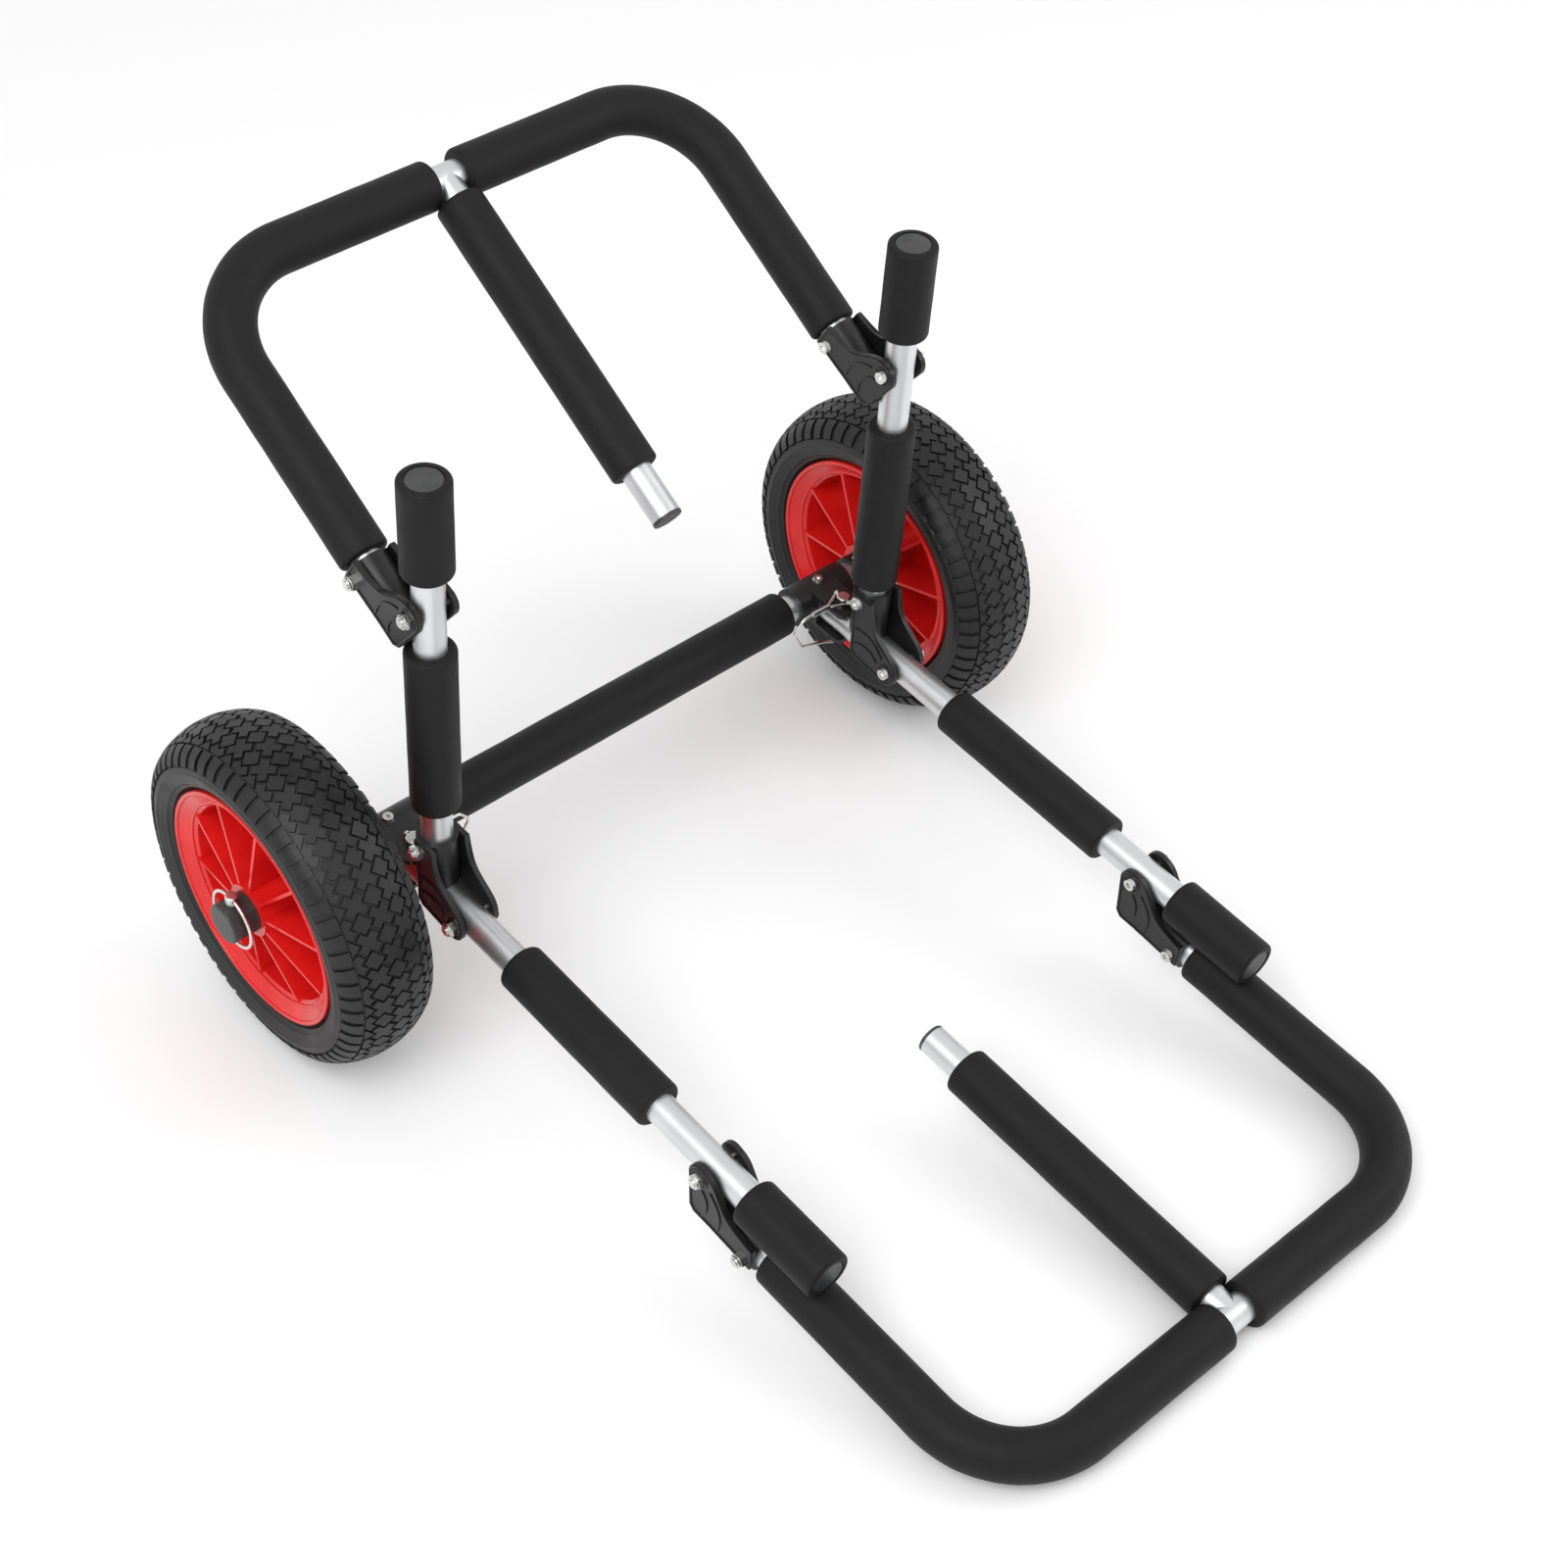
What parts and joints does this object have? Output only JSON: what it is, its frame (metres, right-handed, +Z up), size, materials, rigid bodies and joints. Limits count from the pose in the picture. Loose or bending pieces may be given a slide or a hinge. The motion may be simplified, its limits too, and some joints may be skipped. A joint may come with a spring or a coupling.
{
  "type": "folding beach cart",
  "caption": "Two-wheeled folding cart of foam-padded tubes: hinged uprights, a raised rear bow, a low front bow and quick-release pins.",
  "frame": {"origin": "on the floor under the centre of the cart's bounding box, as it stands on its two wheels and the front bow's crossbar", "axes": "+X along the axle towards the cart's left wheel, +Y forward from the axle to the front bow, +Z up"},
  "size_m": [0.684, 0.8228, 0.515],
  "materials": {
    "aluminium": "satin",
    "foam": "matte",
    "bracket": "satin",
    "cap": "satin",
    "steel": "satin",
    "tyre": "matte",
    "rim": "gloss",
    "bush": "matte"
  },
  "bodies": {
    "chassis": {"axle_tube": "aluminium", "axle_foam": "foam", "axle_clamp_left": "bracket", "axle_clamp_right": "bracket", "axle_collars": "bracket", "axle_end_caps": "cap", "axle_screws": "steel", "arm_tube_left": "aluminium", "arm_tube_right": "aluminium", "arm_foam_left": "foam", "arm_foam_right": "foam", "arm_end_foam_left": "foam", "arm_end_foam_right": "foam", "arm_end_plugs": "cap"},
    "uprights": {"upright_tube_left": "aluminium", "upright_tube_right": "aluminium", "leg_foam_left": "foam", "leg_foam_right": "foam", "grip_foam_left": "foam", "grip_foam_right": "foam", "grip_plugs": "cap", "foot_bracket_left": "bracket", "foot_bracket_right": "bracket", "foot_bolts": "steel", "foot_nuts": "steel"},
    "rear_frame": {"rear_bow_tube": "aluminium", "rear_stem_tube": "aluminium", "rear_bow_foam_left": "foam", "rear_bow_foam_right": "foam", "rear_stem_foam": "foam", "rear_stem_plug": "cap", "rear_bracket_left": "bracket", "rear_bracket_right": "bracket", "rear_bolts": "steel", "rear_nuts": "steel"},
    "front_frame": {"front_bow_tube": "aluminium", "front_stem_tube": "aluminium", "front_bow_foam_left": "foam", "front_bow_foam_right": "foam", "front_stem_foam": "foam", "front_stem_plug": "cap", "front_bracket_left": "bracket", "front_bracket_right": "bracket", "front_bolts": "steel", "front_nuts": "steel"},
    "left_wheel": {"wheel_rim_left": "rim", "wheel_tyre_left": "tyre", "hub_bushes_left": "bush"},
    "left_lock_pin": {"lock_pin_left": "steel"},
    "left_lock_bail": {"lock_bail_left": "steel"},
    "left_wheel_pin": {"wheel_pin_left": "steel"},
    "left_pin_ring": {"wheel_ring_left": "steel"},
    "right_wheel": {"wheel_rim_right": "rim", "wheel_tyre_right": "tyre", "hub_bushes_right": "bush"},
    "right_lock_pin": {"lock_pin_right": "steel"},
    "right_lock_bail": {"lock_bail_right": "steel"},
    "right_wheel_pin": {"wheel_pin_right": "steel"},
    "right_pin_ring": {"wheel_ring_right": "steel"}
  },
  "joints": [
    {"name": "uprights_fold", "type": "hinge", "parent": "chassis", "child": "uprights", "pos_m": [0, -0.13309, 0.11847], "axis": [-1, 0, 0], "range_deg": [0, 92.9]},
    {"name": "rear_frame_fold", "type": "hinge", "parent": "uprights", "child": "rear_frame", "pos_m": [0, -0.15069, 0.37837], "axis": [-1, 0, 0], "range_deg": [0, 60.35]},
    {"name": "front_frame_fold", "type": "hinge", "parent": "chassis", "child": "front_frame", "pos_m": [0, 0.12498, 0.08691], "axis": [-1, 0, 0], "range_deg": [0, 60.35]},
    {"name": "left_wheel_spin", "type": "hinge", "parent": "chassis", "child": "left_wheel", "pos_m": [0.287, -0.22739, 0.13], "axis": [1, 0, 0], "continuous": true},
    {"name": "left_lock_pin_pull", "type": "slide", "parent": "chassis", "child": "left_lock_pin", "axis": [0, 0.1214, 0.9926], "range_m": [0, 0.048]},
    {"name": "left_lock_bail_swing", "type": "hinge", "parent": "left_lock_pin", "child": "left_lock_bail", "pos_m": [0.204, -0.19692, 0.14441], "axis": [0, 0.9926, -0.1214], "range_deg": [0, 110]},
    {"name": "left_wheel_pin_pull", "type": "slide", "parent": "chassis", "child": "left_wheel_pin", "axis": [0, 0.1214, 0.9926], "range_m": [0, 0.044]},
    {"name": "left_pin_ring_swing", "type": "hinge", "parent": "left_wheel_pin", "child": "left_pin_ring", "pos_m": [0.3335, -0.22472, 0.15184], "axis": [0, -0.9926, 0.1214], "range_deg": [0, 170]},
    {"name": "right_wheel_spin", "type": "hinge", "parent": "chassis", "child": "right_wheel", "pos_m": [-0.287, -0.22739, 0.13], "axis": [1, 0, 0], "continuous": true},
    {"name": "right_lock_pin_pull", "type": "slide", "parent": "chassis", "child": "right_lock_pin", "axis": [0, 0.1214, 0.9926], "range_m": [0, 0.048]},
    {"name": "right_lock_bail_swing", "type": "hinge", "parent": "right_lock_pin", "child": "right_lock_bail", "pos_m": [-0.204, -0.19692, 0.14441], "axis": [0, -0.9926, 0.1214], "range_deg": [0, 110]},
    {"name": "right_wheel_pin_pull", "type": "slide", "parent": "chassis", "child": "right_wheel_pin", "axis": [0, 0.1214, 0.9926], "range_m": [0, 0.044]},
    {"name": "right_pin_ring_swing", "type": "hinge", "parent": "right_wheel_pin", "child": "right_pin_ring", "pos_m": [-0.3335, -0.22472, 0.15184], "axis": [0, 0.9926, -0.1214], "range_deg": [0, 170]}
  ],
  "couplings": [
    {"joint": "left_lock_bail_swing", "follows": "left_lock_pin_pull", "rad_per_m": 39.997},
    {"joint": "left_pin_ring_swing", "follows": "left_wheel_pin_pull", "rad_per_m": 67.433},
    {"joint": "right_lock_bail_swing", "follows": "right_lock_pin_pull", "rad_per_m": 39.997},
    {"joint": "right_pin_ring_swing", "follows": "right_wheel_pin_pull", "rad_per_m": 67.433}
  ]
}
